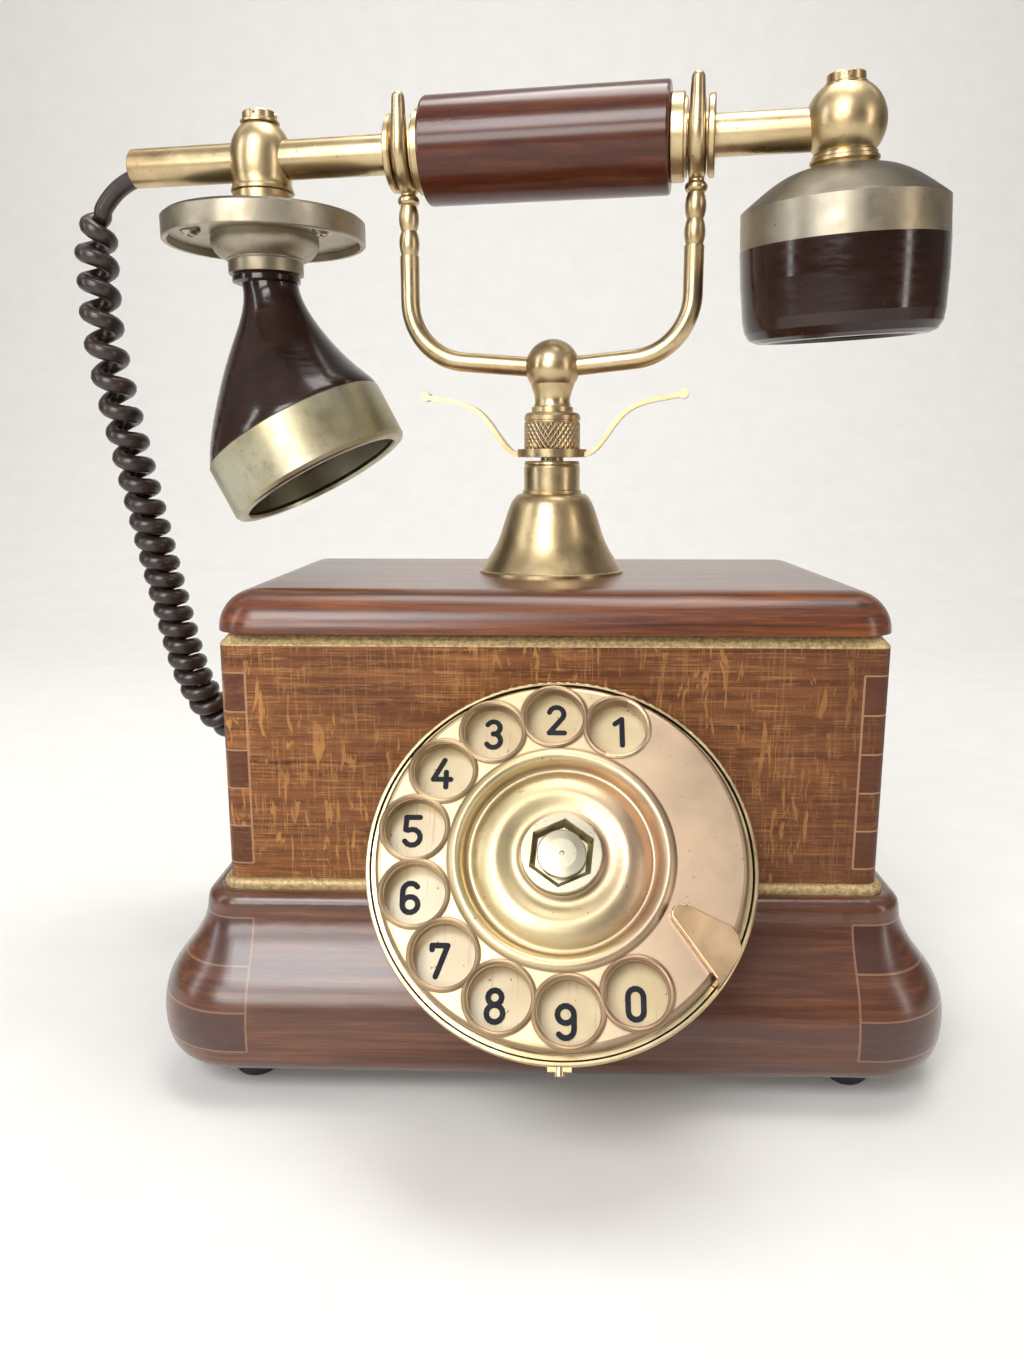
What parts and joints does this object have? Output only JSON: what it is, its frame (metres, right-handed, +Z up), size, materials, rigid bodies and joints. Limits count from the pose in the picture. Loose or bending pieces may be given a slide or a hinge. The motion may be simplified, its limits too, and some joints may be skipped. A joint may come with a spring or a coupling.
{
  "type": "rotary desk telephone",
  "caption": "Desk telephone in a moulded wooden box case with a tilted rotary dial, a brass column cradle and a tube handset with a curled cord.",
  "frame": {"origin": "on the table plane under the middle of the bounding box without the cord", "axes": "+X to the user's right, +Y away from the user, +Z up; the dial faces -Y"},
  "size_m": [0.225, 0.1923, 0.2342],
  "materials": {
    "oak": "satin lacquer",
    "dark_oak": "gloss lacquer",
    "gilt": "gold paint",
    "brass": "aged polish",
    "satin_brass": "dull",
    "pale_brass": "fine satin",
    "nickel": "bright",
    "mahogany": "gloss varnish",
    "bakelite": "gloss",
    "capsule": "matt",
    "enamel": "gloss",
    "ink": "matt",
    "rubber": "matt",
    "steel": "plain",
    "gong": "spun",
    "winding": "enamelled wire",
    "gland": "matt",
    "cord": "gloss"
  },
  "bodies": {
    "case": {"front_board": "oak", "back_board": "oak", "left_board": "oak", "right_board": "oak", "top_slab": "dark_oak", "gilt_cove": "gilt", "gilt_bead": "gilt", "base_front": "dark_oak", "base_back": "dark_oak", "base_left": "dark_oak", "base_right": "dark_oak", "floor_plate": "steel", "rubber_feet": "rubber", "line_cord_gland": "gland", "handset_cord_gland": "gland", "column_bell": "brass", "hook_contacts": "steel", "dial_cup": "brass", "dial_ring": "brass", "number_plate": "enamel", "dial_digits": "ink", "finger_stop": "brass", "dial_chassis": "steel", "ringer_gongs": "gong", "ringer_motor": "steel", "induction_coil": "winding", "terminal_block": "capsule", "cord_end": "cord"},
    "cradle": {"plunger_rod": "nickel", "wing_ring": "brass", "knurled_collar": "brass", "cradle_ball": "brass", "fork_rod": "brass", "fork_beads": "brass", "cradle_prongs": "brass"},
    "hook_lever": {"hook_lever": "steel"},
    "finger_wheel": {"finger_wheel": "pale_brass", "wheel_hub": "pale_brass", "main_gear": "steel"},
    "idle_gear": {"idle_gear": "steel"},
    "governor": {"governor": "steel"},
    "clapper": {"ringer_clapper": "steel"},
    "handset": {"handset_tube": "brass", "grip": "mahogany", "grip_spools": "brass", "mouth_ball": "brass", "ear_ball": "brass", "ball_nuts": "brass", "ear_cap": "satin_brass", "ear_cup": "bakelite", "receiver_capsule": "capsule", "mouth_disc": "satin_brass", "mouth_boss": "satin_brass", "mouth_screws": "nickel", "horn": "bakelite", "horn_band": "brass", "transmitter_capsule": "capsule", "cord_tail": "cord", "cord_coil": "cord"}
  },
  "joints": [
    {"name": "dial_spin", "type": "hinge", "parent": "case", "child": "finger_wheel", "pos_m": [0.0108, -0.063, 0.0668], "axis": [0, 0.8059, -0.592], "range_deg": [0, 318], "stiffness_Nm_per_rad": 0.004, "springref_deg": -57.3},
    {"name": "idle_spin", "type": "hinge", "parent": "case", "child": "idle_gear", "pos_m": [0.0108, -0.03811, 0.08041], "axis": [0, 0.8059, -0.592], "range_deg": [-960, 0]},
    {"name": "governor_spin", "type": "hinge", "parent": "case", "child": "governor", "pos_m": [0.0233, -0.03758, 0.07437], "axis": [0, 0.8059, -0.592], "range_deg": [0, 1920]},
    {"name": "handset_lift", "type": "slide", "parent": "case", "child": "handset", "axis": [0, 0, 1], "range_m": [0, 0.08], "deforming": ["cord_coil"]},
    {"name": "cradle_lift", "type": "slide", "parent": "case", "child": "cradle", "axis": [0, 0, 1], "range_m": [0, 0.005]},
    {"name": "hook_rock", "type": "hinge", "parent": "case", "child": "hook_lever", "pos_m": [0.029, 0.0184, 0.082], "axis": [0, 1, 0], "range_deg": [0, 14]},
    {"name": "clapper_swing", "type": "hinge", "parent": "case", "child": "clapper", "pos_m": [0.009, 0.0114, 0.033], "axis": [0, 0, 1], "range_deg": [-9, 9], "stiffness_Nm_per_rad": 0.001}
  ],
  "couplings": [
    {"joint": "idle_spin", "follows": "dial_spin", "ratio": -3},
    {"joint": "governor_spin", "follows": "dial_spin", "ratio": 6},
    {"joint": "cradle_lift", "follows": "handset_lift", "ratio": 0.0625},
    {"joint": "hook_rock", "follows": "handset_lift", "rad_per_m": 3}
  ]
}
